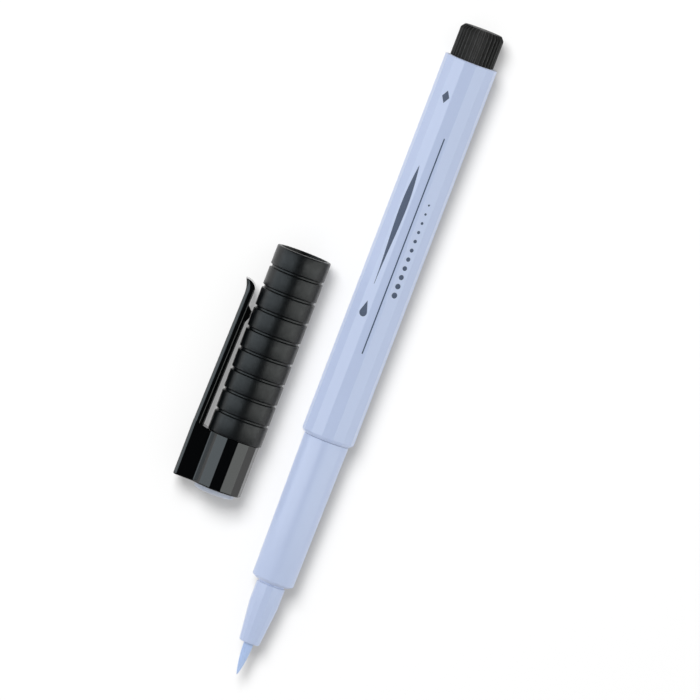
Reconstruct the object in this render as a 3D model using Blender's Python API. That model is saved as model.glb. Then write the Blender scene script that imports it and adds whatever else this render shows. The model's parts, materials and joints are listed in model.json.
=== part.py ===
"""A brush-tipped calligraphy marker lying on a table, with its cap taken off and laid beside it.

Units are metres, +Z is up and the table is z = 0. The pen lies along +Y, from the brush tip to the end plug,
and the cap lies parallel to it with its mouth towards +Y. Each piece is modelled standing on the Z axis of a
holder empty, which is then laid down along +Y.
"""

import math

import bmesh
import bpy
from mathutils import Matrix

MM = 0.001

# Driving dimensions: shared
FACETS = 14
ROUND_STEPS = 48
FINE_STEPS = 28
FIT_GAP = 0.3 * MM
MERGE_DISTANCE = 0.001 * MM
SHARP_EDGE = math.radians(20)
AXIS_SPACING = 17.6 * MM
CAP_BEHIND_TIP = 33.7 * MM

# Driving dimensions: pen, in order from the brush tip to the end plug
BRUSH_LENGTH = 6.9 * MM
NOSE_LENGTH = 13.05 * MM
GRIP_LENGTH = 31.15 * MM
BARREL_LENGTH = 81.9 * MM
PLUG_LENGTH = 7.0 * MM

BRUSH_RADIUS = 1.0 * MM
BRUSH_POINT_RADIUS = 0.12 * MM
BRUSH_FULLNESS = 0.8
SHANK_LENGTH = 22.0 * MM
NOSE_RADIUS = 3.02 * MM
NOSE_MOUTH_RADIUS = 1.86 * MM
NOSE_TAPER = 7.6 * MM
NOSE_SPIGOT = 7.0 * MM
GRIP_FRONT_RADIUS = 4.39 * MM
GRIP_REAR_RADIUS = 4.75 * MM
GRIP_FRONT_CONE = (0.9 * MM, 0.55 * MM)
GRIP_SPIGOT = 9.0 * MM
BARREL_CORNER_RADIUS = 5.54 * MM
BARREL_BORE_RADIUS = 4.6 * MM
BARREL_CHAMFER = (0.6 * MM, 0.7 * MM)
BARREL_RIM = 0.2 * MM
BARREL_RIB_COUNT = 4
BARREL_RIB = (0.9 * MM, 3.85 * MM)
BARREL_RIB_END_GAP = 2 * MM
PLUG_RADIUS = 4.62 * MM
PLUG_RIBS = 32
PLUG_RIB_DEPTH = 0.22 * MM
PLUG_CHAMFER = (0.65 * MM, 0.8 * MM)
PLUG_SPIGOT = 8.0 * MM
PLUG_SPIGOT_WALL = 0.9 * MM
RESERVOIR_RADIUS = 3.0 * MM
FILM_WALL = 0.22 * MM

# Driving dimensions: cap, with heights measured from the flat end of the crown
CAP_LENGTH = 51.0 * MM
CROWN_LENGTH = 10.85 * MM
CROWN_CORNER_RADIUS = 5.42 * MM
CROWN_BORE_RADIUS = 4.0 * MM
CROWN_SPIGOT = 6.0 * MM
CROWN_SPIGOT_RADIUS = 4.52 * MM
CROWN_CHAMFER = 0.3 * MM
TUBE_RADIUS = 5.755 * MM
TUBE_BORE_RADIUS = 4.88 * MM
RING_COUNT = 9
GROOVE_WIDTH = 0.75 * MM
GROOVE_DEPTH = 0.3 * MM
MOUTH_ROUND = 0.25 * MM
INNER_CAP_RADIUS = 3.58 * MM
INNER_CAP_BORE = 3.15 * MM
INNER_CAP_LENGTH = 20.0 * MM
INNER_CAP_FLOOR = 0.6 * MM
BUTTON_RADIUS = 4.25 * MM
BUTTON_PROUD = 1.25 * MM
BUTTON_RIM_SHARE = 0.45
BUTTON_DOME_POWER = 0.6
BUTTON_SEAT_DEPTH = 0.45 * MM

# Driving dimensions: clip, with radii measured from the cap's axis
CLIP_WIDTH = 5.2 * MM
CLIP_ROOT_RADIUS = 9.06 * MM
CLIP_END_RADIUS = 8.5 * MM
CLIP_PLATE = 1.5 * MM
CLIP_LIP_HEIGHT = 42.35 * MM
CLIP_LIP_OUT = 0.8 * MM
CLIP_LIP_FLARE = 2.9 * MM
CLIP_LIP_ROUND = 1.9 * MM
CLIP_LIP_EDGE = 0.25 * MM
CLIP_RIB_WIDTH = 2.4 * MM
CLIP_RIB_DEPTH = 0.8 * MM
CLIP_BUMP = (34.6 * MM, 37.6 * MM)

# Colours, as linear red, green and blue
PALE_BLUE = (0.50, 0.58, 0.80)
BRUSH_BLUE = (0.33, 0.46, 0.73)
MATT_BLACK = (0.020, 0.022, 0.024)
GLOSS_BLACK = (0.008, 0.008, 0.009)
FIBRE_BLUE = (0.40, 0.48, 0.70)
MILK_WHITE = (0.75, 0.76, 0.78)

# Places along the pen, from the tip
NOSE_MOUTH = BRUSH_LENGTH
GRIP_FRONT = NOSE_MOUTH + NOSE_LENGTH
BARREL_FRONT = GRIP_FRONT + GRIP_LENGTH
BARREL_REAR = BARREL_FRONT + BARREL_LENGTH
PEN_LENGTH = BARREL_REAR + PLUG_LENGTH

# Where the clip bends: the middle of the arm's root, as a radius and a height on the cap
CLIP_INNER_RADIUS = CLIP_ROOT_RADIUS - CLIP_PLATE - CLIP_RIB_DEPTH
CLIP_PIVOT_RADIUS = (CLIP_ROOT_RADIUS + CLIP_INNER_RADIUS) / 2
CLIP_PIVOT_HEIGHT = CROWN_LENGTH

# Where the two axes lie, so that the whole object is centred on the origin and stands on z = 0
BARREL_FLAT_RADIUS = BARREL_CORNER_RADIUS * math.cos(math.pi / FACETS)
CLIP_REACH = max(CLIP_ROOT_RADIUS, CLIP_END_RADIUS + CLIP_LIP_OUT)
PEN_X = (AXIS_SPACING + CLIP_REACH - BARREL_CORNER_RADIUS) / 2
CAP_X = PEN_X - AXIS_SPACING
PEN_REAR_Y = PEN_LENGTH / 2
CAP_REAR_Y = CAP_BEHIND_TIP - PEN_REAR_Y
CAP_FLAT_RADIUS = TUBE_RADIUS * math.cos(math.pi / ROUND_STEPS)


def clear_scene():
    for thing in list(bpy.data.objects):
        bpy.data.objects.remove(thing)


def finish(name, colour, roughness):
    """A plain plastic: a Principled BSDF with one colour and one roughness."""
    material = bpy.data.materials.new(name)
    material.use_nodes = True
    shader = material.node_tree.nodes["Principled BSDF"]
    shader.inputs["Base Color"].default_value = (*colour, 1.0)
    shader.inputs["Roughness"].default_value = roughness
    shader.inputs["Metallic"].default_value = 0.0
    return material


def lying_holder(name, x, y, z):
    """An empty whose own Z axis points along the world's +Y and whose own -Y axis points up."""
    holder = bpy.data.objects.new(name, None)
    holder.location = (x, y, z)
    holder.rotation_euler = (-math.pi / 2, 0, 0)
    bpy.context.scene.collection.objects.link(holder)
    return holder


def piece(name, shape, material, holder):
    """A named object from a finished bmesh, shaded smooth except at its real edges."""
    bmesh.ops.remove_doubles(shape, verts=shape.verts, dist=MERGE_DISTANCE)
    bmesh.ops.recalc_face_normals(shape, faces=shape.faces)
    mesh = bpy.data.meshes.new(name)
    shape.to_mesh(mesh)
    shape.free()
    mesh.materials.append(material)
    mesh.shade_smooth()
    mesh.set_sharp_from_angle(angle=SHARP_EDGE)
    made = bpy.data.objects.new(name, mesh)
    made.parent = holder
    bpy.context.scene.collection.objects.link(made)
    return made


def turned(outline, steps, turn=0.0):
    """A bmesh turned about Z from (radius, height) points: a closed loop or a run from axis to axis."""
    shape = bmesh.new()
    points = [shape.verts.new((radius, 0, height)) for radius, height in outline]
    edges = [shape.edges.new(pair) for pair in zip(points, points[1:])]
    if outline[0][0] > 0:
        edges.append(shape.edges.new((points[-1], points[0])))
    bmesh.ops.spin(
        shape,
        geom=points + edges,
        axis=(0, 0, 1),
        cent=(0, 0, 0),
        angle=math.tau,
        steps=steps,
        use_merge=True,
    )
    bmesh.ops.rotate(shape, verts=shape.verts, matrix=Matrix.Rotation(turn, 3, "Z"))
    return shape


def lofted(rings):
    """A bmesh skinned over rings of equally many points, with a flat cap on the first and the last."""
    shape = bmesh.new()
    loops = [[shape.verts.new(point) for point in ring] for ring in rings]
    for lower, upper in zip(loops, loops[1:]):
        for i in range(len(lower)):
            j = (i + 1) % len(lower)
            shape.faces.new((lower[i], lower[j], upper[j], upper[i]))
    shape.faces.new(loops[0])
    shape.faces.new(loops[-1])
    return shape


def slab(outline, width):
    """A bmesh of a side outline in (radius, height), drawn towards -X and as thick as width in Y."""
    shape = bmesh.new()
    face = shape.faces.new([shape.verts.new((-r, -width / 2, h)) for r, h in outline])
    made = bmesh.ops.extrude_face_region(shape, geom=[face])
    moved = [part for part in made["geom"] if isinstance(part, bmesh.types.BMVert)]
    bmesh.ops.translate(shape, verts=moved, vec=(0, width, 0))
    return shape


def joined(base, other_shape, name):
    """Adds a shape to a piece with a Boolean union, keeping the added shape as a hidden helper."""
    helper = piece(name, other_shape, base.data.materials[0], base.parent)
    helper.hide_render = True
    helper.display_type = "WIRE"
    union = base.modifiers.new("join " + name, "BOOLEAN")
    union.operation = "UNION"
    union.object = helper


def rounded_taper(start, end, share, fullness=1.0):
    """A radius that grows from start to end along a quarter of a sine wave, sooner if fullness is below 1."""
    return start + (end - start) * math.sin(share * math.pi / 2) ** fullness


def grip_radius(above_front):
    """Radius of the grip section, which tapers evenly."""
    return GRIP_FRONT_RADIUS + (GRIP_REAR_RADIUS - GRIP_FRONT_RADIUS) * above_front / GRIP_LENGTH


def from_clip_pivot(shape):
    """Moves a shape drawn on the cap's axis so that the clip's pivot is its origin."""
    bmesh.ops.translate(shape, verts=shape.verts, vec=(CLIP_PIVOT_RADIUS, 0, -CLIP_PIVOT_HEIGHT))
    return shape


def make_barrel(holder, material):
    """Fourteen-sided tube with a chamfered front and four ribs along its bore."""
    drop, run = BARREL_CHAMFER
    outline = [
        (BARREL_CORNER_RADIUS - drop, BARREL_FRONT),
        (BARREL_CORNER_RADIUS, BARREL_FRONT + run),
        (BARREL_CORNER_RADIUS, BARREL_REAR - BARREL_RIM),
        (BARREL_CORNER_RADIUS - BARREL_RIM, BARREL_REAR),
        (BARREL_BORE_RADIUS, BARREL_REAR),
        (BARREL_BORE_RADIUS, BARREL_FRONT),
    ]
    barrel = piece("barrel", turned(outline, FACETS), material, holder)
    rib_width, rib_radius = BARREL_RIB
    rib_outer = (BARREL_FLAT_RADIUS + BARREL_BORE_RADIUS) / 2
    low = BARREL_FRONT + GRIP_SPIGOT + BARREL_RIB_END_GAP
    high = BARREL_REAR - PLUG_SPIGOT - BARREL_RIB_END_GAP
    outline = [(rib_radius, low), (rib_outer, low), (rib_outer, high), (rib_radius, high)]
    for i in range(BARREL_RIB_COUNT):
        rib = slab(outline, rib_width)
        angle = math.tau * (i + 0.5) / BARREL_RIB_COUNT
        bmesh.ops.rotate(rib, verts=rib.verts, matrix=Matrix.Rotation(angle, 3, "Z"))
        joined(barrel, rib, f"barrel_rib_{i + 1}")


def make_grip_section(holder, material):
    """Round tapered sleeve: a low conical front, a spigot in the barrel, a neck round the nose's spigot."""
    drop, run = GRIP_FRONT_CONE
    neck = NOSE_RADIUS + FIT_GAP
    room = RESERVOIR_RADIUS + 2 * FIT_GAP + FILM_WALL
    spigot = BARREL_BORE_RADIUS * math.cos(math.pi / FACETS) - FIT_GAP
    neck_end = GRIP_FRONT + NOSE_SPIGOT + FIT_GAP
    outline = [
        (neck, GRIP_FRONT),
        (grip_radius(0) - drop, GRIP_FRONT),
        (grip_radius(run), GRIP_FRONT + run),
        (GRIP_REAR_RADIUS, BARREL_FRONT - FIT_GAP),
        (spigot, BARREL_FRONT - FIT_GAP),
        (spigot, BARREL_FRONT + GRIP_SPIGOT),
        (room, BARREL_FRONT + GRIP_SPIGOT),
        (room, neck_end),
        (neck, neck_end),
    ]
    piece("grip_section", turned(outline, ROUND_STEPS), material, holder)


def make_nib_holder(holder, material):
    """Fourteen-sided nose with a rounded taper, a spigot inside the grip section and a bore for the nib."""
    bore = BRUSH_RADIUS + FIT_GAP
    outline = [(bore, NOSE_MOUTH)]
    taper_steps = 6
    for i in range(taper_steps + 1):
        share = i / taper_steps
        radius = rounded_taper(NOSE_MOUTH_RADIUS, NOSE_RADIUS, share)
        outline.append((radius, NOSE_MOUTH + NOSE_TAPER * share))
    outline += [
        (NOSE_RADIUS, GRIP_FRONT + NOSE_SPIGOT),
        (bore, GRIP_FRONT + NOSE_SPIGOT),
    ]
    piece("nib_holder", turned(outline, FACETS), material, holder)


def make_brush_nib(holder, tip_holder, material):
    """The brush nib in two solids: the tip, on a ball-ended base that can swing, and the shank behind it."""
    outline = [(0, -BRUSH_LENGTH)]
    tip_steps = 6
    cone_length = BRUSH_LENGTH - BRUSH_POINT_RADIUS
    for i in range(tip_steps + 1):
        share = i / tip_steps
        radius = rounded_taper(BRUSH_POINT_RADIUS, BRUSH_RADIUS, share, BRUSH_FULLNESS)
        outline.append((radius, cone_length * (share - 1)))
    ball_steps = 5
    for i in range(1, ball_steps):
        angle = math.pi / 2 * i / ball_steps
        outline.append((BRUSH_RADIUS * math.cos(angle), BRUSH_RADIUS * math.sin(angle)))
    outline.append((0, BRUSH_RADIUS))
    piece("brush_tip", turned(outline, FINE_STEPS), material, tip_holder)
    shank_front = NOSE_MOUTH + BRUSH_RADIUS + FIT_GAP
    outline = [
        (0, shank_front),
        (BRUSH_RADIUS, shank_front),
        (BRUSH_RADIUS, shank_front + SHANK_LENGTH - BRUSH_RADIUS),
        (BRUSH_RADIUS / 3, shank_front + SHANK_LENGTH),
        (0, shank_front + SHANK_LENGTH),
    ]
    piece("brush_shank", turned(outline, FINE_STEPS), material, holder)


def make_reservoir(holder, fibre, film):
    """Fibre core with a socket for the nib's shank, and the open-ended film sleeve round it."""
    front = GRIP_FRONT + NOSE_SPIGOT + 2 * FIT_GAP
    rear = BARREL_REAR - PLUG_SPIGOT - FIT_GAP
    socket_end = NOSE_MOUTH + BRUSH_RADIUS + SHANK_LENGTH + 2 * FIT_GAP
    socket = BRUSH_RADIUS + FIT_GAP
    outline = [
        (0, socket_end),
        (socket, socket_end),
        (socket, front),
        (RESERVOIR_RADIUS, front),
        (RESERVOIR_RADIUS, rear),
        (0, rear),
    ]
    piece("ink_reservoir", turned(outline, FINE_STEPS), fibre, holder)
    inner = RESERVOIR_RADIUS + FIT_GAP
    outline = [
        (inner, front),
        (inner + FILM_WALL, front),
        (inner + FILM_WALL, rear),
        (inner, rear),
    ]
    piece("reservoir_film", turned(outline, FINE_STEPS), film, holder)


def make_end_plug(holder, material):
    """Ribbed plug with a rounded end and a hollow spigot inside the barrel."""
    points_per_rib = 4
    count = PLUG_RIBS * points_per_rib
    rib_form = (0.0, 0.0, 1.0, 1.0)

    def ring(radius, height, depth):
        made = []
        for i in range(count):
            angle = math.tau * i / count
            r = radius - depth * rib_form[i % points_per_rib]
            made.append((r * math.cos(angle), r * math.sin(angle), height))
        return made

    drop, run = PLUG_CHAMFER
    spigot = BARREL_BORE_RADIUS * math.cos(math.pi / FACETS) - FIT_GAP
    hollow = spigot - PLUG_SPIGOT_WALL
    seat = BARREL_REAR + FIT_GAP
    rings = [
        ring(hollow, BARREL_REAR, 0),
        ring(hollow, BARREL_REAR - PLUG_SPIGOT, 0),
        ring(spigot, BARREL_REAR - PLUG_SPIGOT, 0),
        ring(spigot, seat, 0),
        ring(PLUG_RADIUS, seat, PLUG_RIB_DEPTH),
        ring(PLUG_RADIUS, PEN_LENGTH - run, PLUG_RIB_DEPTH),
        ring(PLUG_RADIUS - drop / 3, PEN_LENGTH - run / 3, PLUG_RIB_DEPTH),
        ring(PLUG_RADIUS - drop, PEN_LENGTH, 0),
    ]
    piece("end_plug", lofted(rings), material, holder)


def make_cap_tube(holder, material):
    """Open tube with evenly spaced ring grooves and a rounded mouth."""
    low = CROWN_LENGTH + FIT_GAP
    pitch = (CAP_LENGTH - low) / RING_COUNT
    floor = TUBE_RADIUS - GROOVE_DEPTH
    slope = GROOVE_WIDTH / 4
    outline = [
        (TUBE_BORE_RADIUS, low),
        (TUBE_RADIUS - MOUTH_ROUND, low),
        (TUBE_RADIUS, low + MOUTH_ROUND),
    ]
    for i in range(1, RING_COUNT):
        middle = low + pitch * i
        outline += [
            (TUBE_RADIUS, middle - GROOVE_WIDTH / 2),
            (floor, middle - GROOVE_WIDTH / 2 + slope),
            (floor, middle + GROOVE_WIDTH / 2 - slope),
            (TUBE_RADIUS, middle + GROOVE_WIDTH / 2),
        ]
    outline += [
        (TUBE_RADIUS, CAP_LENGTH - MOUTH_ROUND),
        (TUBE_RADIUS - MOUTH_ROUND, CAP_LENGTH),
        (TUBE_BORE_RADIUS + MOUTH_ROUND, CAP_LENGTH),
        (TUBE_BORE_RADIUS, CAP_LENGTH - MOUTH_ROUND),
    ]
    turn = math.pi / ROUND_STEPS
    piece("cap_tube", turned(outline, ROUND_STEPS, turn), material, holder)


def make_cap_crown(holder, material):
    """Fourteen-sided end with a spigot up inside the tube, the button's seat and the clip's root block."""
    seat_radius = BUTTON_RADIUS + FIT_GAP
    outline = [
        (seat_radius, 0),
        (CROWN_CORNER_RADIUS - CROWN_CHAMFER, 0),
        (CROWN_CORNER_RADIUS, CROWN_CHAMFER),
        (CROWN_CORNER_RADIUS, CROWN_LENGTH),
        (CROWN_SPIGOT_RADIUS, CROWN_LENGTH),
        (CROWN_SPIGOT_RADIUS, CROWN_LENGTH + CROWN_SPIGOT),
        (CROWN_BORE_RADIUS, CROWN_LENGTH + CROWN_SPIGOT),
        (CROWN_BORE_RADIUS, BUTTON_SEAT_DEPTH),
        (seat_radius, BUTTON_SEAT_DEPTH),
    ]
    crown = piece("cap_crown", turned(outline, FACETS), material, holder)
    inside = (CROWN_BORE_RADIUS + CROWN_CORNER_RADIUS) / 2
    block = [
        (inside, 0.0),
        (CLIP_ROOT_RADIUS - CROWN_CHAMFER, 0.0),
        (CLIP_ROOT_RADIUS, CROWN_CHAMFER),
        (CLIP_ROOT_RADIUS, CROWN_LENGTH - FIT_GAP),
        (inside, CROWN_LENGTH - FIT_GAP),
    ]
    joined(crown, slab(block, CLIP_WIDTH), "clip_root_block")


def make_clip_arm(holder, material):
    """Springy arm: a plate with a flared lip, rounded on the inside, and a rib that ends in a bump."""
    root = CROWN_LENGTH
    tip_radius = CLIP_END_RADIUS + CLIP_LIP_OUT
    round_reach = tip_radius - CLIP_LIP_EDGE - CLIP_INNER_RADIUS
    lip_steps = 6
    outer = [(CLIP_ROOT_RADIUS, root)]
    inner = [(CLIP_ROOT_RADIUS - CLIP_PLATE, root)]
    for i in range(lip_steps + 1):
        share = i / lip_steps
        flare = CLIP_LIP_FLARE * (1 - share)
        outer.append((CLIP_END_RADIUS + CLIP_LIP_OUT * share**2, CLIP_LIP_HEIGHT - flare))
        angle = math.pi / 2 * share
        drop = CLIP_LIP_ROUND * (1 - math.sin(angle))
        inner.append((CLIP_INNER_RADIUS + round_reach * (1 - math.cos(angle)), CLIP_LIP_HEIGHT - drop))
    arm = piece("clip_arm", from_clip_pivot(slab(outer + inner[::-1], CLIP_WIDTH)), material, holder)
    bump_low, bump_high = CLIP_BUMP
    bump_height = bump_high - bump_low
    bump_radius = TUBE_RADIUS + FIT_GAP
    buried = CLIP_ROOT_RADIUS - CLIP_PLATE + FIT_GAP
    rib = [
        (buried, root),
        (buried, bump_high),
        (CLIP_INNER_RADIUS, bump_high),
        (bump_radius, bump_high - bump_height / 2),
        (bump_radius, bump_low + bump_height / 6),
        (CLIP_INNER_RADIUS, bump_low),
        (CLIP_INNER_RADIUS, root),
    ]
    joined(arm, from_clip_pivot(slab(rib, CLIP_RIB_WIDTH)), "clip_rib")


def make_colour_button(holder, material):
    """Domed disc set in the end of the crown."""
    back = BUTTON_SEAT_DEPTH - FIT_GAP
    edge = BUTTON_PROUD * BUTTON_RIM_SHARE
    dome_steps = 5
    outline = [(0, back), (BUTTON_RADIUS, back), (BUTTON_RADIUS, -edge)]
    for i in range(1, dome_steps):
        angle = math.pi / 2 * i / dome_steps
        rise = (BUTTON_PROUD - edge) * math.sin(angle)
        outline.append((BUTTON_RADIUS * math.cos(angle) ** BUTTON_DOME_POWER, -edge - rise))
    outline.append((0, -BUTTON_PROUD))
    piece("colour_button", turned(outline, ROUND_STEPS), material, holder)


def make_inner_cap(holder, material):
    """Cup that seals round the nose, open towards the cap's mouth."""
    bottom = BUTTON_SEAT_DEPTH
    top = bottom + INNER_CAP_LENGTH
    outline = [
        (0, bottom),
        (INNER_CAP_RADIUS, bottom),
        (INNER_CAP_RADIUS, top),
        (INNER_CAP_BORE, top),
        (INNER_CAP_BORE, bottom + INNER_CAP_FLOOR),
        (0, bottom + INNER_CAP_FLOOR),
    ]
    piece("inner_cap", turned(outline, FINE_STEPS), material, holder)


def main():
    clear_scene()
    pale_blue = finish("pale_blue_plastic", PALE_BLUE, 0.4)
    matt_black = finish("matt_black_plastic", MATT_BLACK, 0.65)
    gloss_black = finish("gloss_black_plastic", GLOSS_BLACK, 0.12)
    brush_blue = finish("brush_fibre", BRUSH_BLUE, 0.8)
    inked_fibre = finish("inked_fibre", FIBRE_BLUE, 0.9)
    milk_white = finish("milk_white_plastic", MILK_WHITE, 0.45)

    pen = lying_holder("pen_axis", PEN_X, -PEN_REAR_Y, BARREL_FLAT_RADIUS)
    brush = lying_holder("brush_axis", PEN_X, NOSE_MOUTH - PEN_REAR_Y, BARREL_FLAT_RADIUS)
    cap = lying_holder("cap_axis", CAP_X, CAP_REAR_Y, CAP_FLAT_RADIUS)
    clip_x = CAP_X - CLIP_PIVOT_RADIUS
    clip_y = CAP_REAR_Y + CLIP_PIVOT_HEIGHT
    clip = lying_holder("clip_axis", clip_x, clip_y, CAP_FLAT_RADIUS)

    make_barrel(pen, pale_blue)
    make_grip_section(pen, pale_blue)
    make_nib_holder(pen, pale_blue)
    make_brush_nib(pen, brush, brush_blue)
    make_reservoir(pen, inked_fibre, milk_white)
    make_end_plug(pen, matt_black)

    make_cap_tube(cap, matt_black)
    make_cap_crown(cap, gloss_black)
    make_clip_arm(clip, gloss_black)
    make_colour_button(cap, pale_blue)
    make_inner_cap(cap, milk_white)


main()
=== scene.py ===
"""Looks of a brush-tipped calligraphy marker that lies beside its cap, laid out as a Blender add-on."""

import json
import math

import bmesh
import bpy
from mathutils import Matrix, Vector


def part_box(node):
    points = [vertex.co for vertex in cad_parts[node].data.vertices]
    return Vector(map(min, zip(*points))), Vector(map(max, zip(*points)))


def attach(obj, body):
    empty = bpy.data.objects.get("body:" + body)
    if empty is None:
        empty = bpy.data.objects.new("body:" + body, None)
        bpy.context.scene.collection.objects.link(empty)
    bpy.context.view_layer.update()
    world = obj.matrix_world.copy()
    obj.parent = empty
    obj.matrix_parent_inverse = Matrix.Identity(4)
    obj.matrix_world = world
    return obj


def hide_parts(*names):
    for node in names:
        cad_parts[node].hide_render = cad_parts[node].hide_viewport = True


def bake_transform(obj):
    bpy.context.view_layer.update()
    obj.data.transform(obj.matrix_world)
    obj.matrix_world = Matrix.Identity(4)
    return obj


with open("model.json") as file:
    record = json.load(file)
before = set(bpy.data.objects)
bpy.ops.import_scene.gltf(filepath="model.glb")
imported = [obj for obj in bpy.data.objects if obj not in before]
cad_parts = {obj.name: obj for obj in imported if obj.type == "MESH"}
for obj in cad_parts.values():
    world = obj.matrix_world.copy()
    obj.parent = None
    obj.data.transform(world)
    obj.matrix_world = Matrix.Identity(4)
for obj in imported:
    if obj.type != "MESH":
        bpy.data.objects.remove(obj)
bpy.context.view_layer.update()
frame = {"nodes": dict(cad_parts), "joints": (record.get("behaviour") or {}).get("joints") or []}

bl_info = {
    "name": "Calligraphy Marker",
    "version": (1, 0, 0),
    "blender": (4, 5, 0),
    "location": "3D View > Sidebar > Marker",
    "description": "Models a brush-tipped marker and its cap over their packed solids",
    "category": "Object",
}

MM = 0.001

# Counts of the object's own repeats, and the steps round its smooth turned pieces
FACETS = 14
PLUG_RIBS = 32
CAP_RINGS = 9
ROUND_STEPS = 96

FACET_TURN = math.tau / FACETS
MERGE_DISTANCE = 0.002 * MM
PRESS_GAP = 0.3 * MM

# Light levels: the table's own glow, and the room's light on matt surfaces and in reflections
WHITE = (1.0, 1.0, 1.0, 1.0)
TABLE_LIFT = 0.25
ROOM_LIGHT = 0.51
HORIZON_SHINE = 0.25
CEILING_SHINE = 0.02

# Sizes of the stage, in metres
TABLE_RADIUS = 6.0
LAMP_DISTANCE = 0.8
TABLE_LAMP_WIDTH = 1.02
LONG_LAMP_WIDTH = 0.34
LONG_LAMP_LENGTH = 1.6

# The camera, from the photograph's viewing angle
CAMERA_TARGET = (8.586 * MM, -0.251 * MM, 5.5 * MM)
CAMERA_HEIGHT = 2.5
CAMERA_LEAN = math.radians(4.3)
CAMERA_ROLL = math.radians(20.916)
CAMERA_LENS = 637.6
CAMERA_NEAR = 0.01
SENSOR_WIDTH = 36.0


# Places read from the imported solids


def middle_x(node):
    low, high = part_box(node)
    return (low.x + high.x) / 2


def middle_z(node):
    low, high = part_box(node)
    return (low.z + high.z) / 2


def half_width(node):
    low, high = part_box(node)
    return (high.x - low.x) / 2


def near_y(node):
    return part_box(node)[0].y


def far_y(node):
    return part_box(node)[1].y


PEN_X, PEN_Z = PEN_AXIS = (middle_x("barrel"), middle_z("barrel"))
CAP_X, CAP_Z = CAP_AXIS = (middle_x("cap_tube"), middle_z("cap_tube"))
# The tube lies on the table, so its radius is the height of its axis
TUBE_RADIUS = CAP_Z
BARREL_CORNER = half_width("barrel")
BARREL_FLAT = BARREL_CORNER * math.cos(math.pi / FACETS)
JOINTS = {joint["name"]: joint for joint in frame["joints"]}


# Colour and node helpers


def linear(hex_colour):
    """Linear red, green and blue from an sRGB hex colour."""
    values = [int(hex_colour[i : i + 2], 16) / 255 for i in (1, 3, 5)]
    return tuple(v / 12.92 if v <= 0.04045 else ((v + 0.055) / 1.055) ** 2.4 for v in values)


def opaque(colour, gain=1.0):
    """A socket's colour, made lighter or darker by a gain."""
    return (*(min(c * gain, 1.0) for c in colour), 1.0)


def shades(colour, low, high):
    """The two colours of a mix, both gains of one colour."""
    return {"A": opaque(colour, low), "B": opaque(colour, high)}


def per_metre(spacing):
    """Noise scale whose features are about this far apart, in metres."""
    return 1 / spacing


def feed(owner, node, *numbered, **named):
    """Fills inputs, by number or by name with _ for a space, from values, sockets or other nodes."""
    for key, value in [*enumerate(numbered), *named.items()]:
        socket = node.inputs[key.replace("_", " ") if isinstance(key, str) else key]
        if isinstance(value, bpy.types.Node):
            # A node stands for its first output in use
            value = next(output for output in value.outputs if output.enabled)
        if isinstance(value, bpy.types.NodeSocket):
            owner.node_tree.links.new(value, socket)
        else:
            socket.default_value = value


def add_node(owner, kind, settings=None, *numbered, **named):
    """Adds a shader node to a material or world, with its settings and its inputs."""
    made = owner.node_tree.nodes.new(f"ShaderNode{kind}")
    for name, value in (settings or {}).items():
        setattr(made, name, value)
    feed(owner, made, *numbered, **named)
    return made


def new_material(name):
    """A node material with only its output and its Principled shader, and that shader."""
    material = bpy.data.materials.new(name)
    material.use_nodes = True
    material.node_tree.nodes.clear()
    shader = add_node(material, "BsdfPrincipled")
    add_node(material, "OutputMaterial", Surface=shader)
    return material, shader


def streaks(material, place, width, length, detail):
    """Noise drawn out along Y into streaks of this width and length."""
    scale = (per_metre(width), per_metre(length), per_metre(width))
    stretched = add_node(material, "Mapping", Vector=place, Scale=scale)
    return add_node(material, "TexNoise", Vector=stretched, Scale=1.0, Detail=detail)


RGBA = {"data_type": "RGBA"}
SOFT_STEP = {"interpolation_type": "SMOOTHSTEP"}
LARGER = {"operation": "MAXIMUM"}
PRODUCT = {"operation": "MULTIPLY"}


# Materials


def satin_polypropylene(name, colour):
    """Pale moulded polypropylene: satin, a little cloudy in colour, with a trace of mould texture."""
    material, shader = new_material(name)
    place = add_node(material, "TexCoord").outputs["Object"]
    cloud = add_node(material, "TexNoise", Vector=place, Scale=per_metre(9 * MM), Detail=2.0)
    tint = add_node(material, "Mix", RGBA, Factor=cloud, **shades(colour, 0.985, 1.015))
    peel = add_node(material, "TexNoise", Vector=place, Scale=per_metre(0.35 * MM), Detail=2.0)
    gloss = add_node(material, "MapRange", Value=peel, To_Min=0.26, To_Max=0.34)
    bump = add_node(material, "Bump", Height=peel, Strength=0.05, Distance=0.02 * MM)
    feed(material, shader, Base_Color=tint, Roughness=gloss, Normal=bump, IOR=1.49)


def matt_polypropylene(name, colour, low_gloss, high_gloss):
    """Black polypropylene from an eroded mould: a fine grain and a mottle break up its highlights."""
    material, shader = new_material(name)
    place = add_node(material, "TexCoord").outputs["Object"]
    noise = {"Vector": place, "Scale": per_metre(0.22 * MM), "Detail": 3.0, "Roughness": 0.6}
    grain = add_node(material, "TexNoise", **noise)
    noise = {"Vector": place, "Scale": per_metre(1.1 * MM), "Detail": 4.0, "Roughness": 0.65}
    mottle = add_node(material, "TexNoise", **noise)
    tone = add_node(material, "Mix", RGBA, Factor=grain, **shades(colour, 0.7, 1.3))
    span = {"From_Min": 0.3, "From_Max": 0.7, "To_Min": low_gloss, "To_Max": high_gloss}
    gloss = add_node(material, "MapRange", Value=mottle, **span)
    uneven = add_node(material, "Bump", Height=mottle, Strength=0.5, Distance=0.06 * MM)
    relief = {"Height": grain, "Strength": 0.3, "Distance": 0.03 * MM, "Normal": uneven}
    bump = add_node(material, "Bump", **relief)
    feed(material, shader, Base_Color=tone, Roughness=gloss, Normal=bump)
    feed(material, shader, IOR=1.49, Specular_IOR_Level=0.42)


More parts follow.
